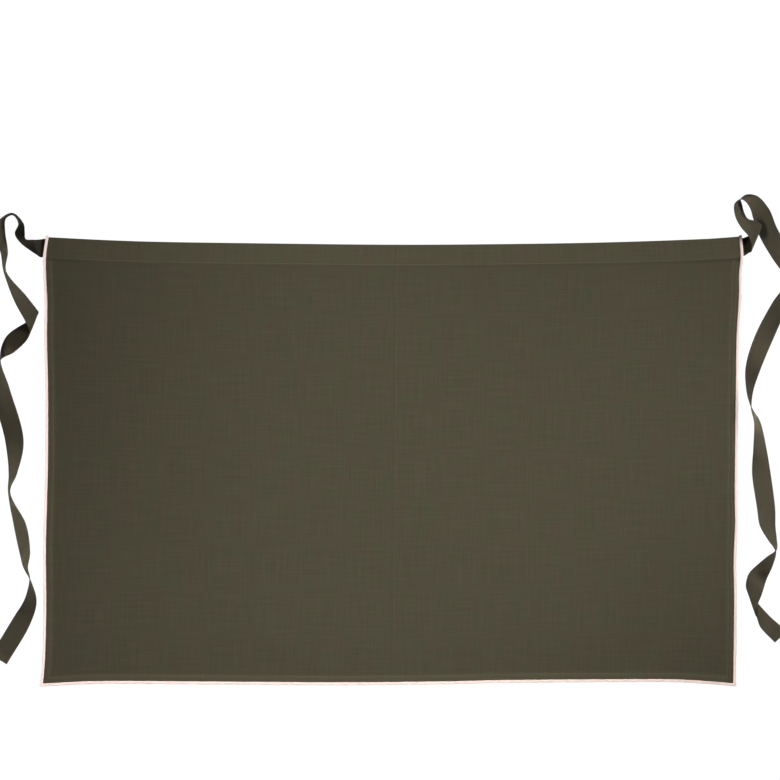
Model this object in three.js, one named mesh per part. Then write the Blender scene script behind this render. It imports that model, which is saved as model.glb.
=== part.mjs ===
// Waist apron, laid flat on its back on the surface Z = 0, its waistband towards +Y.
// All sizes are in millimetres. The origin is the middle of the panel, on the surface.
import * as THREE from 'three';

// Driving sizes
const PANEL_WIDTH = 896;
const PANEL_HEIGHT = 572;
const CLOTH = 1.0;
const GAP = 0.3;
const HEM_WIDTH = 8.5;
const HEM_THICK = 1.8;
const HEM_STEP = 1.2;
const BAND_DEPTH = 26.7;
const BAND_STEP = 0.8;
const BAND_SLOPE = 5;
const BAND_SLACK = 0.4;
const TAPE_WIDTH = 23.5;
const TAPE_THICK = 1.0;
const TAPE_LOWEST = 0.55;
const TAPE_PART = 40;
const EDGING_WIDTH = 3.2;
const EDGING_HEIGHT = 2.2;
const EDGING_CLIMB = 14;

// How finely the curved pieces are cut
const PANEL_COLUMNS = 22;
const PANEL_ROWS = 16;
const FOLD_STEPS = 6;
const TAPE_STEPS = 6;
const EDGING_SIDES = 10;

// Colours
const OLIVE = 0x4e4a3c;
const DARK_OLIVE = 0x4a4638;
const PALE_PINK = 0xead8cd;

const HALF_WIDTH = PANEL_WIDTH / 2;
const HALF_HEIGHT = PANEL_HEIGHT / 2;
const SEAM = HALF_HEIGHT - BAND_DEPTH;
const TUNNEL = TAPE_THICK + 2 * GAP;

// How the four edges wander: the place along the edge, and how far it lies outside the plain rectangle.
const TOP_EDGE = [
  { at: -448, out: 6.2 },
  { at: -378, out: 2.7 },
  { at: -313, out: 0.4 },
  { at: -183, out: -1.6 },
  { at: 0, out: -3.5 },
  { at: 140, out: -2.7 },
  { at: 270, out: -0.6 },
  { at: 402, out: 3.9 },
  { at: 448, out: 7.0 },
];
const BOTTOM_EDGE = [
  { at: -448, out: 2.3 },
  { at: -378, out: -0.8 },
  { at: -248, out: -0.3 },
  { at: -60, out: 0.7 },
  { at: 77, out: -0.5 },
  { at: 142, out: -2.1 },
  { at: 300, out: -3.3 },
  { at: 376, out: -3.0 },
  { at: 421, out: -0.3 },
  { at: 448, out: 2.0 },
];
const LEFT_EDGE = [
  { at: -286, out: 5 },
  { at: -262, out: 2.6 },
  { at: -230, out: 1.3 },
  { at: -180, out: 0.5 },
  { at: -110, out: 1 },
  { at: -50, out: -0.6 },
  { at: 0, out: -1.8 },
  { at: 95, out: -1.8 },
  { at: 158, out: -0.5 },
  { at: 200, out: -0.9 },
  { at: 236, out: 0.6 },
  { at: 258, out: 1 },
  { at: 286, out: -2.7 },
];
const RIGHT_EDGE = [
  { at: -286, out: -2.8 },
  { at: -180, out: -1.6 },
  { at: -127, out: -2.2 },
  { at: -80, out: -0.4 },
  { at: -50, out: -0.9 },
  { at: 28, out: -0.3 },
  { at: 80, out: 0.4 },
  { at: 158, out: 1.5 },
  { at: 208, out: 4.4 },
  { at: 240, out: 4.8 },
  { at: 262, out: 6.6 },
  { at: 286, out: 4.4 },
];

// The ties. Each row is one straight line across the tape, from its edge a to its edge b, seen in plan:
// out = outwards from the panel's side, down = down from its top edge. The tape keeps its width, so what
// a line lacks in plan it stands up: up = 1 with edge a higher, -1 with edge b higher, 0 where it is level.
// low = height of the lower edge.
const TIE_COLUMNS = ['aOut', 'aDown', 'bOut', 'bDown', 'up', 'low'];
const LEFT_TIE = [
  [-18.0, -3.7, -18.0, 19.7, 0, 1.8],
  [2.0, -4.2, 2.0, 19.2, 0, 1.8],
  [7.0, -3.4, 7.0, 20.0, 0, 1.8],
  [16.0, -2.4, 13.5, 16.0, 1, 0.8],
  [25.1, -3.0, 33.7, 0.7, 1, 0.6],
  [26.4, -12.2, 40.8, -11.0, 1, 0.6],
  [27.9, -23.0, 36.3, -24.0, 1, 0.6],
  [41.2, -36.3, 43.4, -35.0, 1, 0.6],
  [54.7, -31.0, 52.8, -30.6, 1, 0.6],
  [69.0, -12.4, 53.5, -13.0, 1, 0.6],
  [57.2, 13.8, 50.2, 13.0, 1, 0.6],
  [53.1, 38.3, 52.5, 37.7, 1, 0.6],
  [39.2, 78.3, 26.5, 69.6, 1, 2.0],
  [25.0, 105.4, 11.6, 88.0, 1, 7.5],
  [21.0, 119.0, 9.3, 91.4, 0, 9.0],
  [24.6, 127.4, 21.3, 101.4, 0, 7.5],
  [41.3, 143.4, 52.5, 123.5, 1, 1.0],
  [58.7, 154.8, 60.0, 152.1, 1, 0.6],
  [67.8, 189.8, 48.0, 189.8, 1, 0.6],
  [53.8, 257.4, 29.5, 258.7, 0, 0.6],
  [46.6, 299.9, 38.0, 300.3, 1, 0.6],
  [47.2, 323.1, 47.3, 325.0, 1, 0.6],
  [40.3, 368.6, 26.5, 367.3, 1, 0.6],
  [32.5, 404.2, 21.3, 403.7, 1, 0.6],
  [27.8, 420.9, 24.2, 423.2, 1, 0.6],
  [19.4, 436.9, 21.6, 438.0, 1, 0.6],
  [11.4, 465.7, 28.7, 465.4, 1, 0.6],
  [20.9, 497.0, 41.5, 486.2, 1, 0.6],
  [51.5, 549.0, 71.7, 536.3, 0, 0.6],
];
const RIGHT_TIE = [
  [-13.0, -4.4, -13.0, 19.0, 0, 1.8],
  [9.0, -5.0, 10.5, 18.2, 0, 1.8],
  [13.0, -6.4, 13.0, 17.0, 0, 1.9],
  [21.3, -10.0, 16.1, 14.7, 0, 5.0],
  [33.0, -20.0, 19.6, 12.4, 0, 10.0],
  [27.8, -26.0, 16.4, -5.2, 0, 12.0],
  [15.6, -30.0, 4.9, -18.5, -1, 5.0],
  [11.0, -37.7, -2.4, -33.5, -1, 1.5],
  [7.8, -50.0, -3.1, -48.3, -1, 0.6],
  [6.6, -55.6, 4.4, -54.4, -1, 0.6],
  [13.5, -61.4, 10.5, -52.0, -1, 0.6],
  [27.8, -59.8, 18.0, -42.4, -1, 0.6],
  [43.4, -43.0, 23.3, -28.6, 0, 0.6],
  [53.2, -19.5, 32.0, -5.2, 0, 0.6],
  [68.8, 9.8, 47.8, 21.6, 0, 0.6],
  [78.0, 33.8, 78.0, 68.9, 0, 3.0],
  [47.3, 79.3, 64.5, 89.0, -1, 2.8],
  [24.3, 123.8, 45.6, 133.6, 0, 0.6],
  [13.0, 162.5, 31.2, 165.0, -1, 0.6],
  [14.2, 193.0, 20.9, 192.4, -1, 0.6],
  [20.3, 214.5, 18.1, 214.3, -1, 0.6],
  [31.7, 234.0, 22.2, 235.1, -1, 0.6],
  [39.8, 267.8, 21.7, 266.2, -1, 0.6],
  [46.0, 304.2, 21.3, 301.6, 0, 0.6],
  [51.5, 348.4, 27.8, 347.0, 0, 0.6],
  [51.7, 369.2, 30.5, 368.3, -1, 0.6],
  [53.2, 386.1, 40.1, 386.2, -1, 0.6],
  [53.1, 399.8, 49.6, 401.4, -1, 0.6],
  [39.5, 410.2, 46.5, 418.2, -1, 0.8],
  [18.7, 428.4, 39.5, 440.0, 0, 2.6],
  [14.8, 435.5, 33.7, 457.6, 0, 4.6],
  [13.2, 448.5, 25.2, 481.7, 0, 3.0],
  [21.3, 460.2, 27.8, 488.8, 0, 0.6],
  [45.4, 487.5, 31.0, 500.0, -1, 0.6],
  [66.8, 505.7, 50.6, 520.4, 0, 0.6],
];

// A smooth curve through the rows of an edge table, read at a place along the edge.
function edgeCurve(rows) {
  const slope = (i) => {
    const before = rows[Math.max(i - 1, 0)];
    const after = rows[Math.min(i + 1, rows.length - 1)];
    return (after.out - before.out) / (after.at - before.at);
  };
  return (at) => {
    const next = rows.findIndex((row) => row.at > at);
    const i = next === -1 ? rows.length - 2 : Math.max(next - 1, 0);
    const span = rows[i + 1].at - rows[i].at;
    const k = THREE.MathUtils.clamp((at - rows[i].at) / span, 0, 1);
    const bend = k * k * (3 - 2 * k);
    const leave = slope(i) * span * k * (1 - k) * (1 - k);
    const arrive = slope(i + 1) * span * k * k * (1 - k);
    return rows[i].out * (1 - bend) + rows[i + 1].out * bend + leave - arrive;
  };
}

const topOut = edgeCurve(TOP_EDGE);
const bottomOut = edgeCurve(BOTTOM_EDGE);
const leftOut = edgeCurve(LEFT_EDGE);
const rightOut = edgeCurve(RIGHT_EDGE);

// Where a point of the plain rectangle lies once its edges wander.
function lay(x, y, z) {
  const rightShare = 0.5 + (0.5 * x) / HALF_WIDTH;
  const topShare = 0.5 + (0.5 * y) / HALF_HEIGHT;
  const laidX = x + rightShare * rightOut(y) - (1 - rightShare) * leftOut(y);
  const laidY = y + topShare * topOut(x) - (1 - topShare) * bottomOut(x);
  return new THREE.Vector3(laidX, laidY, z);
}

// Triangles that fill a ring rung by rung: each point of its first half faces one of its second half.
function ladder(count) {
  const triangles = [];
  for (let j = 0; j < count / 2 - 1; j++) {
    const facing = count - 1 - j;
    triangles.push([j, j + 1, facing], [j + 1, facing - 1, facing]);
  }
  return triangles;
}

// A closed skin over a row of rings of equally many points, with its two end rings filled. The halves of
// a ring face each other across a thin wall, so both are cut along the same diagonals where it twists.
function loft(rings) {
  const count = rings[0].length;
  const points = rings.flat();
  const faces = [];
  for (let i = 0; i < rings.length - 1; i++) {
    for (let j = 0; j < count; j++) {
      const a = i * count + j;
      const b = i * count + ((j + 1) % count);
      if (j < count / 2) {
        faces.push([a, b, b + count], [a, b + count, a + count]);
      } else {
        faces.push([a, b, a + count], [b, b + count, a + count]);
      }
    }
  }
  const last = (rings.length - 1) * count;
  for (const [a, b, c] of ladder(count)) {
    faces.push([c, b, a], [last + a, last + b, last + c]);
  }
  let volume = 0;
  for (const [a, b, c] of faces) {
    volume += points[a].dot(new THREE.Vector3().crossVectors(points[b], points[c]));
  }
  const outward = volume > 0 ? faces : faces.map(([a, b, c]) => [a, c, b]);
  const geometry = new THREE.BufferGeometry();
  geometry.setFromPoints(points);
  geometry.setIndex(outward.flat());
  geometry.computeVertexNormals();
  return geometry;
}

// How far a point this deep inside an edge still lies on the narrow hem, from 1 down to 0.
function onHem(depth) {
  return THREE.MathUtils.clamp((HEM_WIDTH - depth) / HEM_STEP, 0, 1);
}

// The cloth's section at one place across its width: from the bottom edge up its back, round the inside
// of the waistband's fold, down and up the turned-back layer, over the fold and down the front.
function panelSection(x, rows) {
  const depth = HALF_WIDTH - Math.abs(x);
  const tucked = 1 - THREE.MathUtils.smoothstep(depth, TAPE_PART, 2 * TAPE_PART);
  const tunnel = BAND_SLACK + (TUNNEL - BAND_SLACK) * tucked;
  const inner = tunnel / 2;
  const outer = CLOTH + inner;
  const middle = SEAM + BAND_DEPTH / 2;
  const fold = (radius, from) => {
    const arc = [];
    for (let k = 0; k <= FOLD_STEPS; k++) {
      const turn = from * (Math.PI / 2 - (Math.PI * k) / FOLD_STEPS);
      const tip = HALF_HEIGHT - outer + radius * Math.cos(turn);
      arc.push([tip, outer + radius * Math.sin(turn)]);
    }
    return arc;
  };
  const front = (y) => CLOTH + (HEM_THICK - CLOTH) * Math.max(onHem(depth), onHem(y + HALF_HEIGHT));
  return [
    ...rows.map((y) => [y, 0]),
    [SEAM, CLOTH + GAP],
    [SEAM + BAND_STEP, CLOTH + tunnel],
    [middle, CLOTH + tunnel],
    ...fold(inner, 1),
    [middle, CLOTH],
    [SEAM, CLOTH],
    [SEAM, 0],
    [middle, 0],
    ...fold(outer, -1),
    [middle, 2 * outer],
    [SEAM + BAND_STEP, 2 * outer],
    [SEAM, 2 * CLOTH + GAP],
    ...rows.map((y) => [y, front(y)]).reverse(),
  ];
}

// The heights at which the single layer is cut, from the bottom edge up to the waistband's seam.
function panelRows() {
  const rows = [-HALF_HEIGHT, HEM_WIDTH - HEM_STEP - HALF_HEIGHT];
  const hemLine = HEM_WIDTH - HALF_HEIGHT;
  for (let i = 0; i <= PANEL_ROWS; i++) {
    rows.push(THREE.MathUtils.lerp(hemLine, SEAM - BAND_SLOPE, i / PANEL_ROWS));
  }
  return rows;
}

// The places across the width at which the cloth is cut, from the left edge to the right edge.
function panelColumns() {
  const hemLine = HALF_WIDTH - HEM_WIDTH;
  const inside = HALF_WIDTH - 2 * TAPE_PART;
  const edge = [HALF_WIDTH, hemLine + HEM_STEP, hemLine, HALF_WIDTH - TAPE_PART];
  const columns = edge.map((x) => -x);
  for (let i = 0; i <= PANEL_COLUMNS; i++) {
    columns.push(THREE.MathUtils.lerp(-inside, inside, i / PANEL_COLUMNS));
  }
  return [...columns, ...edge.reverse()];
}

// The cloth panel with its waistband tunnel and its narrow hems.
function makePanel() {
  const rows = panelRows();
  const columns = panelColumns();
  const sections = columns.map((x) => panelSection(x, rows));
  const rings = sections.map((section, i) => section.map(([y, z]) => lay(columns[i], y, z)));
  return loft(rings);
}

// An oval bead along a path: each path point gives its place and the level direction across the bead.
function makeBead(path) {
  const rings = path.map(({ place, across }) => {
    const ring = [];
    for (let j = 0; j < EDGING_SIDES; j++) {
      const turn = (2 * Math.PI * j) / EDGING_SIDES;
      const point = place.clone().addScaledVector(across, (EDGING_WIDTH / 2) * Math.cos(turn));
      point.z += (EDGING_HEIGHT / 2) * Math.sin(turn);
      ring.push(point);
    }
    return ring;
  });
  return loft(rings);
}

// The wound thread along a side edge. At the waistband it climbs to the front layer, above the tie.
function makeSideEdging(side) {
  const path = [];
  const aside = GAP + EDGING_WIDTH / 2;
  const level = EDGING_HEIGHT / 2;
  for (const y of [...panelRows(), SEAM, SEAM + BAND_DEPTH / 2, HALF_HEIGHT]) {
    const climb = THREE.MathUtils.smoothstep(y, SEAM - EDGING_CLIMB, SEAM);
    const place = lay(side * HALF_WIDTH, y, level + climb * (CLOTH + TUNNEL));
    place.x += side * aside;
    path.push({ place, across: new THREE.Vector3(side, 0, 0) });
  }
  return makeBead(path);
}

// The wound thread along the bottom edge, out to the outer sides of the side edgings.
function makeBottomEdging() {
  const path = panelColumns().map((x) => {
    const place = lay(x, -HALF_HEIGHT, EDGING_HEIGHT / 2);
    place.y -= GAP + EDGING_WIDTH / 2;
    return { place, across: new THREE.Vector3(0, 1, 0) };
  });
  path[0].place.x -= GAP + EDGING_WIDTH;
  path[path.length - 1].place.x += GAP + EDGING_WIDTH;
  return makeBead(path);
}

// One edge of a tape: a smooth curve through its points that nowhere dips under the surface.
function tapeEdge(points) {
  const curve = new THREE.CatmullRomCurve3(points, false, 'centripetal');
  const edge = curve.getPoints((points.length - 1) * TAPE_STEPS);
  edge.forEach((point) => {
    point.z = Math.max(point.z, TAPE_LOWEST);
  });
  return edge;
}

// One tie: its two edges run as smooth curves through the rows, and the tape is the strip between them.
function makeTie(side, table) {
  const aPoints = [];
  const bPoints = [];
  for (const values of table) {
    const row = Object.fromEntries(TIE_COLUMNS.map((name, i) => [name, values[i]]));
    const span = Math.hypot(row.aOut - row.bOut, row.aDown - row.bDown);
    const rise = row.up * Math.sqrt(Math.max(TAPE_WIDTH ** 2 - span ** 2, 0));
    const aHigh = row.low + Math.max(rise, 0);
    const bHigh = row.low + Math.max(-rise, 0);
    aPoints.push(new THREE.Vector3(side * (HALF_WIDTH + row.aOut), HALF_HEIGHT - row.aDown, aHigh));
    bPoints.push(new THREE.Vector3(side * (HALF_WIDTH + row.bOut), HALF_HEIGHT - row.bDown, bHigh));
  }
  const aEdge = tapeEdge(aPoints);
  const bEdge = tapeEdge(bPoints);
  const rings = aEdge.map((a, i) => {
    const b = bEdge[i];
    const before = Math.max(i - 1, 0);
    const after = Math.min(i + 1, aEdge.length - 1);
    const along = aEdge[after].clone().add(bEdge[after]).sub(aEdge[before]).sub(bEdge[before]);
    const across = a.clone().sub(b);
    const half = along.cross(across).setLength(TAPE_THICK / 2);
    return [a.clone().add(half), b.clone().add(half), b.clone().sub(half), a.clone().sub(half)];
  });
  return loft(rings);
}

function addPiece(group, name, geometry, color, roughness) {
  const material = new THREE.MeshStandardMaterial({ color, roughness, metalness: 0 });
  const mesh = new THREE.Mesh(geometry, material);
  mesh.name = name;
  group.add(mesh);
}

const apron = new THREE.Group();
apron.name = 'waist_apron';
addPiece(apron, 'panel', makePanel(), OLIVE, 0.9);
addPiece(apron, 'edging_left', makeSideEdging(-1), PALE_PINK, 0.8);
addPiece(apron, 'edging_right', makeSideEdging(1), PALE_PINK, 0.8);
addPiece(apron, 'edging_bottom', makeBottomEdging(), PALE_PINK, 0.8);
addPiece(apron, 'tie_left', makeTie(-1, LEFT_TIE), DARK_OLIVE, 0.85);
addPiece(apron, 'tie_right', makeTie(1, RIGHT_TIE), DARK_OLIVE, 0.85);

export default apron;
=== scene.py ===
import bpy
import numpy as np
from bpy.props import FloatProperty, FloatVectorProperty, PointerProperty
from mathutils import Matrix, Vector


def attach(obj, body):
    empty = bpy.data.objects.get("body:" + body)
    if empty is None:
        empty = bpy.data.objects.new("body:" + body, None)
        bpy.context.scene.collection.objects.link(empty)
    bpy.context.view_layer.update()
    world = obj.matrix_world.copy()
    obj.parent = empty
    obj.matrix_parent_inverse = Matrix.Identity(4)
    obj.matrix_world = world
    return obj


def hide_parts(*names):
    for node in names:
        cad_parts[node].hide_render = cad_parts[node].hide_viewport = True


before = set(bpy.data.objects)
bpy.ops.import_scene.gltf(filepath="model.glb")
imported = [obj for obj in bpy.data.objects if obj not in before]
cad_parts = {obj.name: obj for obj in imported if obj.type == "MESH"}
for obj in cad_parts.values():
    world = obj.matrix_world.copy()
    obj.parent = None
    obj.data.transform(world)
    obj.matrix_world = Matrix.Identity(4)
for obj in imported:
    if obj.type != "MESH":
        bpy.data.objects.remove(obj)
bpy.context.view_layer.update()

bl_info = {
    "name": "Waist apron",
    "version": (1, 0, 0),
    "blender": (4, 5, 0),
    "location": "3D View > Sidebar > Apron",
    "description": "A half apron laid flat, with its waistband, wound edging, stitching and tape ties",
    "category": "Add Mesh",
}

MM = 0.001
UP = np.array([0.0, 0.0, 1.0])

# How the four edges wander, in millimetres: the place along the edge, and how far it lies outside
# the plain rectangle.
TOP_EDGE = (
    (-448, 6.2), (-378, 2.7), (-313, 0.4), (-183, -1.6), (0, -3.5),
    (140, -2.7), (270, -0.6), (402, 3.9), (448, 7),
)
BOTTOM_EDGE = (
    (-448, 2.3), (-378, -0.8), (-248, -0.3), (-60, 0.7), (77, -0.5),
    (142, -2.1), (300, -3.3), (376, -3), (421, -0.3), (448, 2),
)
LEFT_EDGE = (
    (-286, 5), (-262, 2.6), (-230, 1.3), (-180, 0.5), (-110, 1), (-50, -0.6), (0, -1.8),
    (95, -1.8), (158, -0.5), (200, -0.9), (236, 0.6), (258, 1), (286, -2.7),
)
RIGHT_EDGE = (
    (-286, -2.8), (-180, -1.6), (-127, -2.2), (-80, -0.4), (-50, -0.9), (28, -0.3),
    (80, 0.4), (158, 1.5), (208, 4.4), (240, 4.8), (262, 6.6), (286, 4.4),
)

# The ties, in millimetres. Each row is one straight line across the tape, from its edge a to its edge b,
# seen in plan: out = outwards from the panel's side, down = down from its top edge. The tape keeps its
# width, so what a line lacks in plan it stands up: up = 1 with edge a higher, -1 with edge b higher,
# 0 where it is level. low = height of the lower edge.
# The columns are a's out and down, b's out and down, up and low.
LEFT_TIE = (
    (-18, -3.7, -18, 19.7, 0, 1.8),
    (2, -4.2, 2, 19.2, 0, 1.8),
    (7, -3.4, 7, 20, 0, 1.8),
    (16, -2.4, 13.5, 16, 1, 0.8),
    (25.1, -3, 33.7, 0.7, 1, 0.6),
    (26.4, -12.2, 40.8, -11, 1, 0.6),
    (27.9, -23, 36.3, -24, 1, 0.6),
    (41.2, -36.3, 43.4, -35, 1, 0.6),
    (54.7, -31, 52.8, -30.6, 1, 0.6),
    (69, -12.4, 53.5, -13, 1, 0.6),
    (57.2, 13.8, 50.2, 13, 1, 0.6),
    (53.1, 38.3, 52.5, 37.7, 1, 0.6),
    (39.2, 78.3, 26.5, 69.6, 1, 2),
    (25, 105.4, 11.6, 88, 1, 7.5),
    (21, 119, 9.3, 91.4, 0, 9),
    (24.6, 127.4, 21.3, 101.4, 0, 7.5),
    (41.3, 143.4, 52.5, 123.5, 1, 1),
    (58.7, 154.8, 60, 152.1, 1, 0.6),
    (67.8, 189.8, 48, 189.8, 1, 0.6),
    (53.8, 257.4, 29.5, 258.7, 0, 0.6),
    (46.6, 299.9, 38, 300.3, 1, 0.6),
    (47.2, 323.1, 47.3, 325, 1, 0.6),
    (40.3, 368.6, 26.5, 367.3, 1, 0.6),
    (32.5, 404.2, 21.3, 403.7, 1, 0.6),
    (27.8, 420.9, 24.2, 423.2, 1, 0.6),
    (19.4, 436.9, 21.6, 438, 1, 0.6),
    (11.4, 465.7, 28.7, 465.4, 1, 0.6),
    (20.9, 497, 41.5, 486.2, 1, 0.6),
    (51.5, 549, 71.7, 536.3, 0, 0.6),
)
RIGHT_TIE = (
    (-13, -4.4, -13, 19, 0, 1.8),
    (9, -5, 10.5, 18.2, 0, 1.8),
    (13, -6.4, 13, 17, 0, 1.9),
    (21.3, -10, 16.1, 14.7, 0, 5),
    (33, -20, 19.6, 12.4, 0, 10),
    (27.8, -26, 16.4, -5.2, 0, 12),
    (15.6, -30, 4.9, -18.5, -1, 5),
    (11, -37.7, -2.4, -33.5, -1, 1.5),
    (7.8, -50, -3.1, -48.3, -1, 0.6),
    (6.6, -55.6, 4.4, -54.4, -1, 0.6),
    (13.5, -61.4, 10.5, -52, -1, 0.6),
    (27.8, -59.8, 18, -42.4, -1, 0.6),
    (43.4, -43, 23.3, -28.6, 0, 0.6),
    (53.2, -19.5, 32, -5.2, 0, 0.6),
    (68.8, 9.8, 47.8, 21.6, 0, 0.6),
    (78, 33.8, 78, 68.9, 0, 3),
    (47.3, 79.3, 64.5, 89, -1, 2.8),
    (24.3, 123.8, 45.6, 133.6, 0, 0.6),
    (13, 162.5, 31.2, 165, -1, 0.6),
    (14.2, 193, 20.9, 192.4, -1, 0.6),
    (20.3, 214.5, 18.1, 214.3, -1, 0.6),
    (31.7, 234, 22.2, 235.1, -1, 0.6),
    (39.8, 267.8, 21.7, 266.2, -1, 0.6),
    (46, 304.2, 21.3, 301.6, 0, 0.6),
    (51.5, 348.4, 27.8, 347, 0, 0.6),
    (51.7, 369.2, 30.5, 368.3, -1, 0.6),
    (53.2, 386.1, 40.1, 386.2, -1, 0.6),
    (53.1, 399.8, 49.6, 401.4, -1, 0.6),
    (39.5, 410.2, 46.5, 418.2, -1, 0.8),
    (18.7, 428.4, 39.5, 440, 0, 2.6),
    (14.8, 435.5, 33.7, 457.6, 0, 4.6),
    (13.2, 448.5, 25.2, 481.7, 0, 3),
    (21.3, 460.2, 27.8, 488.8, 0, 0.6),
    (45.4, 487.5, 31, 500, -1, 0.6),
    (66.8, 505.7, 50.6, 520.4, 0, 0.6),
)
TIES = {"left": (-1, LEFT_TIE), "right": (1, RIGHT_TIE)}


def linear(hex_code):
    """An sRGB hex colour as linear red, green and blue."""
    shares = np.array([int(hex_code[i:i + 2], 16) for i in (0, 2, 4)]) / 255
    curved = np.where(shares <= 0.04045, shares / 12.92, ((shares + 0.055) / 1.055) ** 2.4)
    return tuple(float(share) for share in curved)


def length(name, description, default):
    """A property that holds a length in metres."""
    return FloatProperty(name=name, description=description, default=default, unit="LENGTH", precision=5)


def power(name, description, default):
    """A property that holds a lamp's power in watts."""
    return FloatProperty(name=name, description=description, default=default, unit="POWER", precision=2)


def tint(name, description, hex_code):
    """A property that holds a colour."""
    return FloatVectorProperty(
        name=name, description=description, default=linear(hex_code), subtype="COLOR", min=0, max=1
    )


class ApronSizes(bpy.types.PropertyGroup):
    """The sizes of the apron's pieces"""

    panel_width: length("Panel width", "Width of the cloth between its edgings", 0.896)
    panel_height: length("Panel height", "Height of the cloth from its hem to the waistband's fold", 0.572)
    cloth: length("Cloth", "Thickness of one layer of cloth", 0.001)
    hem_width: length("Hem width", "Depth of the turned hem along three edges", 0.0085)
    hem_thick: length("Hem thickness", "Height of the doubled cloth in the pressed hem", 0.0014)
    hem_step: length("Hem step", "Width over which the hem falls to the single layer", 0.004)
    band_depth: length("Waistband depth", "Distance from the top fold to the waistband's seam", 0.0267)
    band_slope: length("Waistband slope", "Width over which the cloth climbs to the seam", 0.005)
    band_step: length("Waistband step", "Width over which the waistband rises above its seam", 0.0015)
    band_slack: length("Waistband slack", "Space between the layers of the waistband", 0.0004)
    tape_part: length("Tape part", "Length of the waistband's end that the tie opens", 0.04)
    tape_width: length("Tape width", "Width of the ties", 0.0235)
    tape_thick: length("Tape thickness", "Thickness of the ties", 0.001)
    tape_lowest: length("Tape height", "Lowest height of the middle of the tape", 0.00055)
    end_hem: length("End hem", "Depth of the hem at the free end of a tie", 0.0062)
    gap: length("Gap", "Clearance between the cloth and its edging", 0.0003)
    edging_width: length("Edging width", "Width of the wound edging", 0.0032)
    edging_height: length("Edging height", "Height of the wound edging", 0.0022)
    edging_grip: length("Edging grip", "How far the winding lies over the edge of the cloth", 0.0007)
    edging_climb: length("Edging climb", "Length over which the edging climbs to the waistband", 0.014)
    edging_thread: length("Edging thread", "Thickness of the wound thread", 0.00074)
    edging_turn: length("Edging turn", "Distance from one turn of the thread to the next", 0.0011)
    stitch: length("Stitch", "Length of a sewing stitch", 0.0027)
    stitch_gap: length("Stitch gap", "Cloth between two stitches", 0.0006)
    sewing_thread: length("Sewing thread", "Thickness of the sewing thread", 0.0008)
    hem_thread: length("Hem thread", "Thickness of the thread that sews the hems", 0.0004)
    needle_thread: length("Needle thread", "Thickness of the thread beside the edging", 0.0009)
    weave: length("Weave", "Distance from thread to thread of the cloth, as drawn", 0.0008)


class ApronColours(bpy.types.PropertyGroup):
    """The colours of the apron's materials"""

    green_olive: tint("Green olive", "Greener threads of the cloth", "444432")
    brown_olive: tint("Brown olive", "Browner threads of the cloth", "494133")
    tape_olive: tint("Tape olive", "Greener threads of the ties", "454333")
    tape_brown: tint("Tape brown", "Browner threads of the ties", "483F33")
    lint: tint("Lint", "Specks of pale fibre on the cloth", "7C786C")
    pale_pink: tint("Pale pink", "Thread wound over the edges", "F2E1D9")
    # Dark red-brown: partly the needle thread's own colour, partly painted shade in the valley beside the
    # edging
    red_brown: tint("Red brown", "Needle thread beside the edging", "5C332C")
    thread_olive: tint("Olive thread", "Thread of the seams", "68634F")
    paper: tint("Paper", "Floor that the apron lies on", "2E2E2E")


class ApronStage(bpy.types.PropertyGroup):
    """The camera and the lights"""

    camera_x: length("Camera across", "Place of the camera across the apron", -0.0013)
    camera_y: length("Camera along", "Place of the camera along the apron", 0.0936)
    camera_height: length("Camera height", "Height of the camera above the floor", 5.07)
    lens: FloatProperty(name="Lens", description="Focal length", default=180, unit="CAMERA")
    floor: length("Floor", "Half the width of the floor", 12.0)
    key_power: power("Right light", "Power of the right softbox", 5.81)
    fill_power: power("Left light", "Power of the left softbox", 1.14)
    top_power: power("Top light", "Power of the overhead softbox", 0.63)
    edge_power: power("Edge light", "Power of the light on the bottom edging", 8)
    tie_power: power("Tie light", "Power of the low light on the right tie", 0.42)
    ambient: FloatProperty(name="Ambient", description="Strength of the room's light", default=0.06)
    glow: FloatProperty(name="Floor glow", description="Light that the floor gives off itself", default=1.0)


def smooth(share):
    """An even climb from 0 to 1: three times the square less twice the cube."""
    held = np.clip(share, 0, 1)
    return held * held * (3 - 2 * held)


def unit(vectors):
    """Vectors with their length taken out."""
    return vectors / np.linalg.norm(vectors, axis=-1, keepdims=True)


def run_along(line):
    """How far along a line each of its points lies."""
    return np.concatenate([[0], np.cumsum(np.linalg.norm(np.diff(line, axis=0), axis=1))])


def edge_curve(rows, at):
    """How far an edge lies outside the rectangle: a cubic through the rows, whose slope at each row is
    that of the line through its neighbours."""
    places, outs = np.array(rows, float).T * MM
    last = len(places) - 1
    before = np.maximum(np.arange(last + 1) - 1, 0)
    after = np.minimum(np.arange(last + 1) + 1, last)
    slope = (outs[after] - outs[before]) / (places[after] - places[before])
    i = np.clip(np.searchsorted(places, at, side="right") - 1, 0, last - 1)
    span = places[i + 1] - places[i]
    k = np.clip((at - places[i]) / span, 0, 1)
    bend = smooth(k)
    leave = slope[i] * span * k * (1 - k) ** 2
    arrive = slope[i + 1] * span * k * k * (1 - k)
    return outs[i] * (1 - bend) + outs[i + 1] * bend + leave - arrive


def lay(s, x, y, z):
    """Where a point of the plain rectangle lies once its edges wander: each edge's way out is shared
    out evenly across the cloth to the edge that faces it."""
    right = 0.5 + x / s.panel_width
    top = 0.5 + y / s.panel_height
    laid_x = x + right * edge_curve(RIGHT_EDGE, y) - (1 - right) * edge_curve(LEFT_EDGE, y)
    laid_y = y + top * edge_curve(TOP_EDGE, x) - (1 - top) * edge_curve(BOTTOM_EDGE, x)
    return np.stack(np.broadcast_arrays(laid_x, laid_y, z), axis=-1)


def stations(start, end, step, spots, reach, fine):
    """Places from start to end a step apart, and a fine step apart within reach of each spot."""
    coarse = np.linspace(start, end, int(np.ceil((end - start) / step)) + 1)
    close = [np.linspace(spot - reach, spot + reach, int(np.ceil(2 * reach / fine)) + 1) for spot in spots]
    places = np.unique(np.round(np.concatenate([coarse, *close]), 6))
    return places[(places >= start) & (places <= end)]


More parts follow.
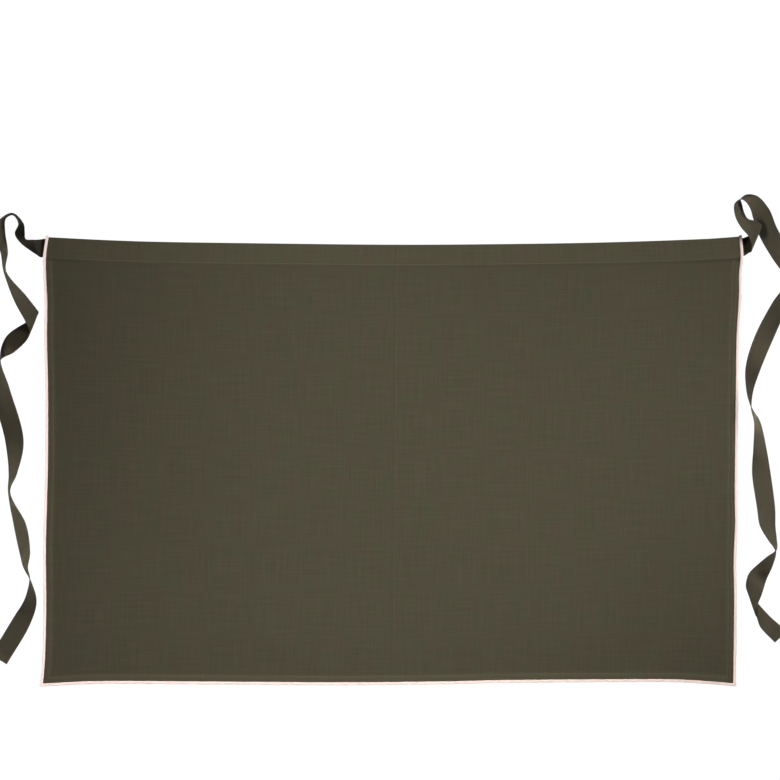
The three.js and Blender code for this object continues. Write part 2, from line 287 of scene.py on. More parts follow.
def loft(points, uv):
    """The quads of a closed skin over rows of rings, each ring closed on itself and each end filled by
    quads from a ring's first half to its second half. Returns points, quads and corner coordinates;
    uv has one more column than a ring has points, so that a pattern goes right round."""
    rows, count = points.shape[:2]
    i, j = np.meshgrid(np.arange(rows - 1), np.arange(count), indexing="ij")
    i, j = i.ravel(), j.ravel()
    onward = (j + 1) % count
    walls = np.stack([i * count + j, i * count + onward, (i + 1) * count + onward, (i + 1) * count + j], 1)
    flat = uv.reshape(-1, 2)
    wide = count + 1
    wall_uv = np.stack([i * wide + j, i * wide + j + 1, (i + 1) * wide + j + 1, (i + 1) * wide + j], 1)
    k = np.arange(count // 2 - 1)
    rung = np.stack([k, count - 1 - k, count - 2 - k, k + 1], 1)
    far = rung[:, ::-1]
    quads = np.concatenate([walls, rung, far + (rows - 1) * count])
    corners = np.concatenate([wall_uv, rung, far + (rows - 1) * wide])
    shape = points.reshape(-1, 3)
    a, b, c, d = (shape[quads[:, n]] for n in range(4))
    volume = np.sum(a * np.cross(b, c)) + np.sum(a * np.cross(c, d))
    if volume < 0:
        quads, corners = quads[:, ::-1], corners[:, ::-1]
    return shape, quads, flat[corners]


def joined(skins):
    """Several skins as one: their points in a row, with each one's quads counted on."""
    starts = np.cumsum([0] + [len(points) for points, quads, uv in skins])
    points = np.concatenate([points for points, quads, uv in skins])
    quads = np.concatenate([quads + start for (_, quads, uv), start in zip(skins, starts)])
    return points, quads, np.concatenate([uv for _, quads, uv in skins])


def make_piece(name, skin, material, sharp=None, marks=None):
    """A smooth mesh object at the origin from a skin's points, quads and corner coordinates. It rides on
    the apron's one body. marks are an attribute's name and its value at each point, which the material
    reads."""
    points, quads, uv = skin
    mesh = bpy.data.meshes.new(name)
    mesh.vertices.add(len(points))
    mesh.vertices.foreach_set("co", points.astype(np.float32).ravel())
    mesh.loops.add(quads.size)
    mesh.loops.foreach_set("vertex_index", quads.astype(np.int32).ravel())
    mesh.polygons.add(len(quads))
    mesh.polygons.foreach_set("loop_start", np.arange(0, quads.size, 4, dtype=np.int32))
    layer = mesh.uv_layers.new(name="cloth")
    layer.uv.foreach_set("vector", uv.astype(np.float32).ravel())
    mesh.update(calc_edges=True)
    mesh.shade_smooth()
    if sharp is not None:
        mesh.set_sharp_from_angle(angle=sharp)
    if marks is not None:
        label, values = marks
        attribute = mesh.attributes.new(label, "FLOAT", "POINT")
        attribute.data.foreach_set("value", values.astype(np.float32).ravel())
    mesh.materials.append(material)
    piece = bpy.data.objects.new(name, mesh)
    bpy.context.scene.collection.objects.link(piece)
    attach(piece, "root")
    return piece


def add_node(tree, kind, inputs=(), **settings):
    """Adds one node. Settings are its properties, and inputs give each socket a value or what feeds it."""
    made = tree.nodes.new("ShaderNode" + kind)
    for name, value in settings.items():
        setattr(made, name, value)
    for key, value in dict(inputs).items():
        if isinstance(value, bpy.types.NodeSocket):
            tree.links.new(value, made.inputs[key])
        else:
            made.inputs[key].default_value = value
    return made


def reckon(tree, operation, *values):
    """The result of a Math node."""
    return add_node(tree, "Math", dict(enumerate(values)), operation=operation).outputs[0]


def blend(tree, share, first, second, way="MIX"):
    """The colour that a Mix node gives."""
    inputs = {0: share, 6: first, 7: second}
    return add_node(tree, "Mix", inputs, data_type="RGBA", blend_type=way).outputs[2]


def new_material(name):
    """A material with an empty node tree and its output."""
    material = bpy.data.materials.new(name)
    material.use_nodes = True
    material.node_tree.nodes.clear()
    output = add_node(material.node_tree, "OutputMaterial")
    return material, material.node_tree, output.inputs["Surface"]


def woven_cloth(name, weave, greener, browner, lint, slub_width, slub_length, slub, sheen, bloom):
    """Linen-like plain weave, yarn-dyed olive and washed soft. The eye sees a dry matt cloth, mottled from
    greener to browner olive, with thicker threads that show as short streaks both ways, a few pale specks
    of lint, and a grey bloom of fibre ends where it is seen edge-on. slub is how much lighter and darker
    the thicker threads are, sheen is how strong the bloom is, and bloom is how wide it spreads."""
    material, tree, surface = new_material(name)
    cloth = add_node(tree, "UVMap", uv_map="cloth").outputs["UV"]
    blotch = 1 / (30 * MM)
    cloud = add_node(tree, "TexNoise", {"Vector": cloth, "Scale": blotch, "Detail": 4, "Roughness": 0.75})
    patch = add_node(tree, "MapRange", {"Value": cloud.outputs["Fac"], "From Min": 0.35, "From Max": 0.65})
    olive = blend(tree, patch.outputs[0], (*greener, 1), (*browner, 1))

    # Slubs: noise that is drawn out along the warp and along the weft
    streaks = []
    for scale in ((1 / slub_width, 1 / slub_length, 1), (1 / slub_length, 1 / slub_width, 1)):
        drawn = add_node(tree, "Mapping", {"Vector": cloth, "Scale": scale}).outputs[0]
        streak = add_node(tree, "TexNoise", {"Vector": drawn, "Scale": 1, "Detail": 2, "Roughness": 0.7})
        streaks.append(streak.outputs["Fac"])
    slubs = reckon(tree, "ADD", *streaks)
    light = add_node(
        tree, "MapRange",
        {"Value": slubs, "From Min": 0.6, "From Max": 1.4, "To Min": 1 - slub, "To Max": 1 + slub},
    ).outputs[0]

    # Plain weave: the product of a wave across the warp and one across the weft, so that each thread
    # passes over one neighbour and under the next. It is drawn about twice as coarse as real threads,
    # which are too fine to show.
    sway = add_node(tree, "TexNoise", {"Vector": cloth, "Scale": 1 / (9 * MM), "Detail": 1})
    turned = add_node(tree, "VectorMath", {0: sway.outputs["Color"], 3: 0.9 * MM}, operation="SCALE")
    swayed = add_node(tree, "VectorMath", {0: cloth, 1: turned.outputs[0]}, operation="ADD").outputs[0]
    split = add_node(tree, "SeparateXYZ", {0: swayed})
    phases = [reckon(tree, "MULTIPLY", split.outputs[axis], np.pi / weave) for axis in ("X", "Y")]
    over = reckon(tree, "MULTIPLY", *(reckon(tree, "SINE", phase) for phase in phases))
    crown = reckon(tree, "ABSOLUTE", over)
    gaps = add_node(tree, "MapRange", {"Value": crown, "From Max": 0.5, "To Min": 0.92, "To Max": 1.02})
    woven = reckon(tree, "MULTIPLY", light, gaps.outputs[0])

    # The piece's tone, which is painted light: hem and waistband are drawn lighter, a tie's painted shade
    # darker and its painted highlight lighter
    tone = add_node(tree, "Attribute", attribute_name="tone").outputs["Fac"]
    dyed = blend(tree, 1, olive, reckon(tree, "MULTIPLY", woven, tone), "MULTIPLY")

    # Lint: one speck near the middle of a few of the cells that the cloth is divided into
    cells = add_node(tree, "TexVoronoi", {"Vector": cloth, "Scale": 1 / (40 * MM)})
    chance = add_node(tree, "SeparateColor", {0: cells.outputs["Color"]}).outputs[0]
    chosen = reckon(tree, "GREATER_THAN", chance, 0.93)
    near = add_node(
        tree, "MapRange",
        {"Value": cells.outputs["Distance"], "From Min": 0.008, "From Max": 0.02, "To Min": 1, "To Max": 0},
    ).outputs[0]
    colour = blend(tree, reckon(tree, "MULTIPLY", chosen, near), dyed, (*lint, 1))

    relief = reckon(tree, "ADD", over, slubs)
    bump = add_node(tree, "Bump", {"Height": relief, "Strength": 0.35, "Distance": 0.12 * MM})
    shader = add_node(
        tree, "BsdfPrincipled",
        {
            "Base Color": colour, "Normal": bump.outputs[0], "Roughness": 0.88, "IOR": 1.5,
            "Specular IOR Level": 0.2, "Sheen Weight": sheen, "Sheen Roughness": bloom,
            "Sheen Tint": (0.85, 0.85, 0.8, 1),
        },
    )
    tree.links.new(shader.outputs[0], surface)
    return material


def spun_thread(name, colour, ply, knot):
    """Spun sewing thread of twisted plies. The eye sees fine slanting ridges, darker in the twist, and a
    soft fibre sheen without gloss. Where a piece is marked, it turns towards the knot's colour: the knot
    itself at the very end, and painted shade that fades out from it."""
    material, tree, surface = new_material(name)
    place = add_node(tree, "UVMap", uv_map="cloth").outputs["UV"]
    split = add_node(tree, "SeparateXYZ", {0: place})
    along = reckon(tree, "MULTIPLY", split.outputs["Y"], 2 * np.pi / ply)
    around = reckon(tree, "MULTIPLY", split.outputs["X"], 4 * np.pi)
    twist = reckon(tree, "SINE", reckon(tree, "ADD", along, around))
    fuzz = add_node(tree, "TexNoise", {"Vector": place, "Scale": 1 / (2.5 * MM), "Detail": 2})
    uneven = add_node(tree, "MapRange", {"Value": fuzz.outputs["Fac"], "To Min": 0.9, "To Max": 1.06})
    ridge = add_node(tree, "MapRange", {"Value": twist, "From Min": -1, "To Min": 0.9, "To Max": 1.0})
    shade = reckon(tree, "MULTIPLY", uneven.outputs[0], ridge.outputs[0])
    # The knot's colour, and painted shade beside it, where a piece is marked
    knot_shade = add_node(tree, "Attribute", attribute_name="knot_shade").outputs["Fac"]
    dyed = blend(tree, 1, blend(tree, knot_shade, (*colour, 1), (*knot, 1)), shade, "MULTIPLY")
    bump = add_node(tree, "Bump", {"Height": twist, "Strength": 0.3, "Distance": 0.06 * MM})
    shader = add_node(
        tree, "BsdfPrincipled",
        {
            "Base Color": dyed, "Normal": bump.outputs[0], "Roughness": 0.7, "IOR": 1.5,
            "Specular IOR Level": 0.3, "Sheen Weight": 0.15, "Sheen Roughness": 0.4,
        },
    )
    tree.links.new(shader.outputs[0], surface)
    return material


def studio_paper(name, colour, glow):
    """Translucent white paper over a lit table. The eye sees an even white ground, where the light from
    below nearly washes the shadows out."""
    material, tree, surface = new_material(name)
    place = add_node(tree, "TexCoord").outputs["Object"]
    grain = add_node(tree, "TexNoise", {"Vector": place, "Scale": 1 / (3 * MM), "Detail": 2})
    shade = add_node(tree, "MapRange", {"Value": grain.outputs["Fac"], "To Min": 0.98, "To Max": 1.0})
    toned = blend(tree, 1, (*colour, 1), shade.outputs[0], "MULTIPLY")
    shader = add_node(
        tree, "BsdfPrincipled",
        {
            "Base Color": toned, "Roughness": 0.9, "Specular IOR Level": 0.1,
            "Emission Color": (1, 1, 1, 1), "Emission Strength": glow,
        },
    )
    tree.links.new(shader.outputs[0], surface)
    return material


# How far past the hem the painted light reaches, and how much lighter the hem and the waistband are painted
HEM_LIGHT_REACH = 3.5 * MM
HEM_LIGHTER = 0.2
BAND_LIGHTER = 0.13
# Where the two pressed creases run up the cloth, with their height or depth and their width
CENTRE_CREASE = 3.9 * MM
CENTRE_CREASE_HIGH = 0.16 * MM
CENTRE_CREASE_WIDE = 1.6 * MM
BAND_CREASE = -331.5 * MM
BAND_CREASE_DEEP = 0.2 * MM
BAND_CREASE_WIDE = 1.0 * MM
# Where the stitching runs inside a hem and above the waistband's seam, and how it pulls the cloth in
STITCH_INSET = 0.7 * MM
SEAM_STITCH = 0.7 * MM
HEM_PULL_DEEP = 0.03 * MM
HEM_PULL_WIDE = 1.1 * MM
SEAM_PULL_DEEP = 0.12 * MM
SEAM_PULL_WIDE = 0.8 * MM
BAND_CROWN = 0.25 * MM
# The cloth's stand off the floor, and the waves in it. Columns: height in millimetres, length across and
# length along in metres, phase. Near the edges they fade out.
LIFT = 0.45
WAVES = ((0.2, 0.31, 0.57, 0.6), (0.12, 0.17, -0.26, 2.1), (0.12, 0.83, 0.19, 4.0))
LIFT_FADE = 60 * MM
# The panel's grid: its step, the finer step within reach of each crease and seam, and the steps round the
# top fold and down the back layer
GRID_STEP = 5 * MM
FINE_STEP = 0.55 * MM
FINE_REACH = 4 * MM
FOLD_STEPS = 14
BACK_STEPS = 5


def seam_height(s):
    """The waistband's seam, as a height on the plain rectangle."""
    return s.panel_height / 2 - s.band_depth


def tunnel_height(s, x):
    """Space between the waistband's layers: slack in the middle, the tape's thickness and a clearance on
    both its sides towards the ends."""
    depth = s.panel_width / 2 - np.abs(x)
    tucked = 1 - smooth((depth - s.tape_part) / s.tape_part)
    return s.band_slack + (s.tape_thick + 2 * s.gap - s.band_slack) * tucked


def edge_depth(s, x, y):
    """How far a point lies inside the nearest of the sides and the bottom edge."""
    return np.minimum(s.panel_width / 2 - np.abs(x), y + s.panel_height / 2)


def hem_share(s, x, y):
    """1 on the turned hem along the sides and the bottom, falling to 0 inside it."""
    return 1 - smooth((edge_depth(s, x, y) - s.hem_width + s.hem_step) / s.hem_step)


def hem_light_share(s, x, y):
    """1 on the hem, falling to 0 over the width inside it that the painted light reaches."""
    return 1 - smooth((edge_depth(s, x, y) - s.hem_width) / HEM_LIGHT_REACH)


def groove(distance, width):
    """A dip whose depth falls off on both sides as a bell curve."""
    return np.exp(-((distance / width) ** 2))


def cloth_lift(s, x, y):
    """How far the cloth stands off the floor: a mean lift and slow slanting waves, under a millimetre in
    all, that fade out towards the edges and the seam."""
    depth = np.minimum(edge_depth(s, x, y), seam_height(s) - y)
    lift = LIFT
    for high, wide, tall, phase in WAVES:
        lift = lift + high * np.sin(2 * np.pi * (x / wide + y / tall) + phase)
    return smooth(depth / LIFT_FADE) * lift * MM


def band_share(s, y):
    """0 below the waistband, climbing to 1 just above its seam."""
    return smooth((y - seam_height(s) + s.band_slope) / (s.band_slope + s.band_step))


def cloth_thickness(s, x, y):
    """One layer, and more on the turned hem below the waistband."""
    return s.cloth + (s.hem_thick - s.cloth) * hem_share(s, x, y) * (1 - band_share(s, y))


def front_height(s, x, y):
    """Height of the cloth's front: its thickness and lift, the step up to the waistband, the waistband's
    soft crown, the grooves that the stitches pull in, and the pressed creases."""
    band = band_share(s, y)
    seam = seam_height(s)
    side = s.panel_width / 2 - np.abs(x)
    bottom = y + s.panel_height / 2
    line = s.hem_width - STITCH_INSET
    level = cloth_thickness(s, x, y) + cloth_lift(s, x, y)
    level = level + band * (s.cloth + tunnel_height(s, x))
    share = np.clip((y - seam) / s.band_depth, 0, 1)
    crown = BAND_CROWN * np.sin(np.pi * share)
    up_side = groove(side - line, HEM_PULL_WIDE) * (bottom > line)
    along_bottom = groove(bottom - line, HEM_PULL_WIDE) * (side > line)
    pulled = HEM_PULL_DEEP * np.maximum(up_side, along_bottom) * (1 - band)
    sewn = SEAM_PULL_DEEP * groove(y - seam - SEAM_STITCH, SEAM_PULL_WIDE)
    crease = CENTRE_CREASE_HIGH * groove(x - CENTRE_CREASE, CENTRE_CREASE_WIDE)
    nick = BAND_CREASE_DEEP * groove(x - BAND_CREASE, BAND_CREASE_WIDE) * band
    return level + crown + crease - nick - np.maximum(pulled, sewn)


def panel_skin(s):
    """The cloth as a wall with two sides. Its path runs from the bottom edge up the front layer, half-way
    round the fold at the top and down the turned-back layer to the seam. The outer side is the front, and
    the inner side lies one thickness behind it."""
    half_width, half_height = s.panel_width / 2, s.panel_height / 2
    seam = seam_height(s)
    line = s.hem_width - STITCH_INSET
    spots = (line - half_width, half_width - line, CENTRE_CREASE, BAND_CREASE)
    x = stations(-half_width, half_width, GRID_STEP, spots, FINE_REACH, FINE_STEP)[:, None]
    spots = (line - half_height, seam - FINE_REACH / 2)
    below = stations(-half_height, seam, GRID_STEP, spots, FINE_REACH, FINE_STEP)
    share = stations(0, 1, 0.06, (0.05,), 0.12, 0.02)[1:]
    inner_radius = tunnel_height(s, x) / 2
    outer_radius = s.cloth + inner_radius
    tangent = half_height - outer_radius
    below = np.broadcast_to(below, (len(x), len(below)))
    front_y = np.hstack([below, seam + (tangent - seam) * share])
    front_z = front_height(s, x, front_y)
    behind_z = np.maximum(front_z - cloth_thickness(s, x, front_y), 0)
    turn = np.linspace(np.pi / 2, -np.pi / 2, FOLD_STEPS + 1)[1:]
    back_y = tangent - (tangent - seam) * np.linspace(0, 1, BACK_STEPS + 1)[1:]
    outer_y = np.hstack([front_y, tangent + outer_radius * np.cos(turn), back_y])
    outer_z = np.hstack([front_z, outer_radius * (1 + np.sin(turn)), np.zeros(back_y.shape)])
    inner_y = np.hstack([front_y, tangent + inner_radius * np.cos(turn), back_y])
    inner_z = np.hstack([behind_z, outer_radius + inner_radius * np.sin(turn), s.cloth + 0 * back_y])
    ring = lay(s, x, np.hstack([inner_y, outer_y[:, ::-1]]), np.hstack([inner_z, outer_z[:, ::-1]]))
    steps = np.hypot(np.diff(outer_y), np.diff(outer_z))
    path = np.hstack([np.zeros((len(x), 1)), np.cumsum(steps, axis=1)])
    path = np.hstack([path, path[:, ::-1], path[:, :1]])
    uv = np.stack(np.broadcast_arrays(x, path), axis=-1)
    # Painted light: the tone draws the hem and the waistband lighter than the single cloth
    band = band_share(s, outer_y)
    tone = 1 + np.maximum(HEM_LIGHTER * hem_light_share(s, x, outer_y) * (1 - band), BAND_LIGHTER * band)
    return loft(ring, uv), np.hstack([tone, tone[:, ::-1]])


def along_line(line, step):
    """A line's points again, a step apart along it, with the direction at each."""
    run = run_along(line)
    at = np.arange(0, run[-1], step)
    points = np.stack([np.interp(at, run, line[:, n]) for n in range(3)], axis=1)
    return points, unit(np.gradient(points, axis=0))


STITCH_RINGS = 7
STITCH_SIDES = 6


def stitches(line, up, stitch, gap, thread):
    """A row of stitches along a line: each is a short round thread, thinning and dipping towards both
    ends by the square of the way along it."""
    centres, ways = along_line(line, stitch + gap)
    up = np.broadcast_to(up, centres.shape)
    across = unit(np.cross(up, ways))
    t = np.linspace(-1, 1, STITCH_RINGS)
    radius = 0.5 * thread * np.sqrt(1 - 0.94 * t**4)
    sunk = 0.1 * thread - 0.6 * thread * t * t
    angle = 2 * np.pi * np.arange(STITCH_SIDES) / STITCH_SIDES
    push = t[:, None] * stitch / 2 * np.ones(STITCH_SIDES)
    spread = radius[:, None] * np.cos(angle)
    lift = radius[:, None] * np.sin(angle) + sunk[:, None]
    axes = [v[:, None, None, :] for v in (centres, ways, across, up)]
    points = axes[0] + push[..., None] * axes[1]
    points = points + spread[..., None] * axes[2] + lift[..., None] * axes[3]
    around = np.linspace(0, 1, STITCH_SIDES + 1)
    uv = np.stack(np.meshgrid(push[:, 0], around, indexing="ij")[::-1], axis=-1)
    first, quads, corners = loft(points[0], uv)
    offsets = np.arange(len(points))[:, None, None] * len(first)
    quads = (quads[None] + offsets).reshape(-1, 4)
    return points.reshape(-1, 3), quads, np.tile(corners, (len(points), 1, 1))


TUBE_SIDES = 6
TURN_STEPS = 12
CORE_SIDES = 10
CORE_TURNS = 3
THREAD_TAIL = 1.6 * MM


def filled(share):
    """A share of a circle, raised to a power below one and with its sign kept."""
    return np.sign(share) * np.abs(share) ** 0.6


def wound_edging(s, centre, across):
    """Thread wound over an edge: a helix whose turns are flattened ovals across the edge, one turn's
    distance apart, carried as a round thread, over a smooth core of the same shape that fills it. The ovals
    are circles whose two shares are raised to a power below one, which fills their corners."""
    half_wide = (s.edging_width + s.gap + s.edging_grip - s.edging_thread) / 2
    half_high = (s.edging_height - s.edging_thread) / 2
    middle, _ = along_line(centre, s.edging_turn / TURN_STEPS)
    step = np.arange(len(middle))
    angle = 2 * np.pi * step / TURN_STEPS
    # Two slow waves make the winding a little uneven
    swell = 1 + 0.05 * np.sin(step * 0.021) + 0.04 * np.sin(step * 0.0537 + 1.0)
    wide, high = filled(np.cos(angle))[:, None] * across, filled(np.sin(angle))[:, None] * UP
    radial = wide * half_high + high * half_wide
    path = middle + swell[:, None] * wide * half_wide + high * half_high
    ahead = unit(np.gradient(path, axis=0))
    radial = unit(radial - np.sum(radial * ahead, axis=1, keepdims=True) * ahead)
    beside = np.cross(ahead, radial)
    ring = 2 * np.pi * np.arange(TUBE_SIDES) / TUBE_SIDES
    tube = np.cos(ring)[:, None] * radial[:, None] + np.sin(ring)[:, None] * beside[:, None]
    run = run_along(path)
    around = np.linspace(0, 1, TUBE_SIDES + 1)
    uv = np.stack(np.meshgrid(around, run), axis=-1)
    thread = loft(path[:, None] + s.edging_thread / 2 * tube, uv)
    places = np.linspace(0, len(middle) - 1, len(middle) // (CORE_TURNS * TURN_STEPS)).astype(int)
    ring = 2 * np.pi * np.arange(CORE_SIDES) / CORE_SIDES
    wide, high = half_wide * filled(np.cos(ring)), half_high * filled(np.sin(ring))
    oval = wide[:, None] * across + high[:, None] * UP
    around = np.linspace(0, 1, CORE_SIDES + 1)
    run = np.arange(len(places)) * CORE_TURNS * s.edging_turn
    core = loft(middle[places][:, None] + oval[None], np.stack(np.meshgrid(around, run), axis=-1))
    return joined([thread, core])


# Painted shade below the knot at the top of the right winding: how far down it fades out, and its share at
# the top
KNOT_SHADE_LENGTH = 16 * MM
KNOT_SHADE_SHARE = 0.92


def knot_and_painted_shade(skin):
    """How far the winding turns to the knot's red-brown: the needle thread's knot at its top end, and below
    it painted shade that fades out.
    """
    down = skin[0][:, 1].max() - skin[0][:, 1]
    return KNOT_SHADE_SHARE * (1 - smooth(down / KNOT_SHADE_LENGTH))


def edging_lines(s):
    """The middle of the wound thread along the left, right and bottom edges, and its level direction
    across each. At the waistband the sides climb to the front layer, above the tie, and a tail of thread
    stands past the top fold."""
    aside = (s.edging_width + s.gap - s.edging_grip) / 2
    level = s.edging_height / 2
    lines = {}
    y = np.linspace(-s.panel_height / 2, s.panel_height / 2, 400)
    climb = smooth((y - seam_height(s) + s.edging_climb) / s.edging_climb)
    z = level + climb * (s.cloth + s.tape_thick + 2 * s.gap)
    for name, side in (("left", -1), ("right", 1)):
        line = lay(s, side * s.panel_width / 2, y, z)
        line = np.vstack([line, line[-1] + (0, THREAD_TAIL, 0)])
        lines[name] = (line + (side * aside, 0, 0), np.array([float(side), 0, 0]))
    x = np.linspace(-s.panel_width / 2, s.panel_width / 2, 600)
    line = lay(s, x, -s.panel_height / 2, level) - (0, aside, 0)
    line[0, 0] -= s.gap + s.edging_width
    line[-1, 0] += s.gap + s.edging_width
    lines["bottom"] = (line, np.array([0, -1.0, 0]))
    return lines


def front_line(s, x, y):
    """A line of the plain rectangle, laid on the front of the cloth."""
    return lay(s, x, y, front_height(s, x, y))


def inside_lines(s, inset, top):
    """Lines on the front of the cloth, inside the bottom edge and inside both sides up to a top height."""
    right, bottom = s.panel_width / 2 - inset, inset - s.panel_height / 2
    x = np.linspace(-right, right, 600)
    y = np.linspace(bottom, top, 500)
    return [front_line(s, x, bottom), front_line(s, -right, y), front_line(s, right, y)]


def seam_lines(s):
    """The rows of stitching: the waistband's seam, and the hem along the bottom and the sides."""
    inset = s.hem_width - STITCH_INSET
    seam = seam_height(s)
    x = np.linspace(inset - s.panel_width / 2, s.panel_width / 2 - inset, 600)
    return [front_line(s, x, seam + SEAM_STITCH), *inside_lines(s, inset, seam)]


NEEDLE_INSET = 1.1 * MM
NEEDLE_SHORT = 0.06


def needle_lines(s):
    """The needle thread of the edging: a row just inside each wound edge, which stops short of the top fold
    by a small share of the waistband. Its dark colour is partly the thread's own and partly painted shade
    in the valley between the edging and the cloth."""
    return inside_lines(s, NEEDLE_INSET, s.panel_height / 2 - NEEDLE_SHORT * s.band_depth)


def through(points, steps):
    """A smooth curve through points: each span is a cubic whose end slopes come from the neighbouring
    points, each weighed by the square root of its distance."""
    ends = np.vstack([2 * points[0] - points[1], points, 2 * points[-1] - points[-2]])
    pace = np.sqrt(np.linalg.norm(np.diff(ends, axis=0), axis=1))[:, None]
    d0, d1, d2 = pace[:-2], pace[1:-1], pace[2:]
    p0, p1, p2, p3 = ends[:-3], ends[1:-2], ends[2:-1], ends[3:]
    leave = ((p1 - p0) / d0 - (p2 - p0) / (d0 + d1) + (p2 - p1) / d1) * d1
    arrive = ((p2 - p1) / d1 - (p3 - p1) / (d1 + d2) + (p3 - p2) / d2) * d1
    k = (np.arange(steps) / steps)[None, :, None]
    square = (3 * (p2 - p1) - 2 * leave - arrive)[:, None]
    cube = (2 * (p1 - p2) + leave + arrive)[:, None]
    curve = p1[:, None] + leave[:, None] * k + square * k**2 + cube * k**3
    return np.vstack([curve.reshape(-1, 3), points[-1]])


TAPE_STEPS = 20
TAPE_EDGE = 5
TAPE_FLAT = 17
# The upper layer of the end hem, in thicknesses, the dip of its stitching, and the tape's ripple
END_HEM_HIGH = 0.8
END_PULL_DEEP = 0.25 * MM
RIPPLE = 0.1 * MM
RIPPLE_ALONG = 5.3 * MM
RIPPLE_SLANT = 21 * MM
# Painted shade and painted highlight on the left (-1) and right (1) tie: painted shade where the panel's
# edge or a fold keeps the light out, and a painted highlight where the tape turns on edge. Columns:
# millimetres along the tape, share of its half width across it, reach along, reach across, how much darker
# the middle is.
SHADES = {
    -1: ((0, 0, 56, 9, 0.62),),
    1: (
        (20, 0.9, 18, 1.1, 0.75),
        (96, 1.2, 32, 1.3, 0.9),
        (163, -0.5, 18, 0.7, 0.75),
        (441, 0.3, 24, 3, -0.7),
    ),
}


def tape_edges(s, side, table):
    """The tape's two edges as smooth curves through the rows of its table, nowhere under the floor."""
    a_out, a_down, b_out, b_down, up, low = np.array(table, float).T
    width = s.tape_width / MM
    span = np.hypot(a_out - b_out, a_down - b_down)
    rise = up * np.sqrt(np.maximum(width**2 - span**2, 0))
    edges = []
    for out, down, high in ((a_out, a_down, np.maximum(rise, 0)), (b_out, b_down, np.maximum(-rise, 0))):
        points = np.stack([side * out, -down, low + high], axis=1) * MM
        edge = through(points + (side * s.panel_width / 2, s.panel_height / 2, 0), TAPE_STEPS)
        edge[:, 2] = np.maximum(edge[:, 2], s.tape_lowest)
        edges.append(edge)
    return edges


def tape_frame(s, side, table):
    """The tape's middle line, its half width as a vector, its face direction and the run along it. The
    face direction is turned to point up at the free end."""
    a, b = tape_edges(s, side, table)
    middle, half = (a + b) / 2, (a - b) / 2
    face = unit(np.cross(np.gradient(middle, axis=0), half))
    return middle, half, face * np.sign(face[-1, 2]), run_along(middle)


def tape_skin(s, side, table):
    """The tape as a flat oblong section with round edges, carried along its middle line. Its free end has
    a hem, where the upper face stands up by most of a thickness, and its faces ripple by a wave along it
    times a wave across it."""
    middle, half, face, run = tape_frame(s, side, table)
    thick = s.tape_thick / 2
    rounding = 2 * thick / s.tape_width
    turn = np.linspace(0, np.pi / 2, TAPE_EDGE)
    edge = 1 - rounding + rounding * np.sin(turn)
    across = np.concatenate([-edge[::-1], np.linspace(rounding - 1, 1 - rounding, TAPE_FLAT)[1:-1], edge])
    body = np.concatenate([np.cos(turn)[::-1], np.ones(TAPE_FLAT - 2), np.cos(turn)])
    body = np.maximum(body, 0.02) * thick
    past_hem = run[-1] - run - s.end_hem
    doubled = 1 - smooth(past_hem / MM)
    hem = END_HEM_HIGH * s.tape_thick * doubled
    hem = hem - END_PULL_DEEP * groove(past_hem + STITCH_INSET, SEAM_PULL_WIDE)
    along = run[:, None]
    crimp = RIPPLE * np.sin(along / RIPPLE_ALONG) * np.cos(3 * across + along / RIPPLE_SLANT)
    upper = body + (hem[:, None] + crimp) * (body / thick)
    lower = -body + crimp * (body / thick)
    place = middle[:, None] + across[None, :, None] * half[:, None]
    top = place + upper[..., None] * face[:, None]
    under = place + lower[..., None] * face[:, None]
    ring = np.concatenate([top, under[:, ::-1]], axis=1)
    ring[..., 2] = np.maximum(ring[..., 2], 0)
    around = np.concatenate([across, across[::-1]])
    wide = np.append(around, across[0]) * s.tape_width / 2
    # The tone: the tie's end hem is painted lighter, and each SHADES row paints a soft shade or highlight
    tone = np.repeat(1 + HEM_LIGHTER * doubled[:, None], len(around), axis=1)
    for at, beside, reach, spread, darker in SHADES[side]:
        far = np.hypot((along / MM - at) / reach, (around - beside) / spread)
        tone = tone - darker * (1 - smooth(2 * far - 1))
    return loft(ring, np.stack(np.meshgrid(wide, run), axis=-1)), tone.ravel()


def end_line(s, side, table):
    """The row of stitching across the hem at the free end of a tie, on its upper face."""
    middle, half, face, run = tape_frame(s, side, table)
    at = run[-1] - s.end_hem + STITCH_INSET
    place, reach, up = (
        np.array([np.interp(at, run, values[:, n]) for n in range(3)]) for values in (middle, half, face)
    )
    across = np.linspace(-0.9, 0.9, 40)[:, None]
    return place + across * reach + up * (1.05 * s.tape_thick), unit(up)


def light_group(name):
    """The collection of pieces that a lamp's links name, made when it is first asked for."""
    return bpy.data.collections.get(name) or bpy.data.collections.new(name)


# The right softbox: its beam in degrees, its place and its aim, and the share of its light that the ties
# can keep off the panel, which leaves their shadow as faint as a large softbox makes it
KEY_LIGHT = (53, (1.49, 0.62, 1.1), (-0.29, -0.19, 0))
TIE_SHADOW = 0.35
LAMP_SIZE = 0.4


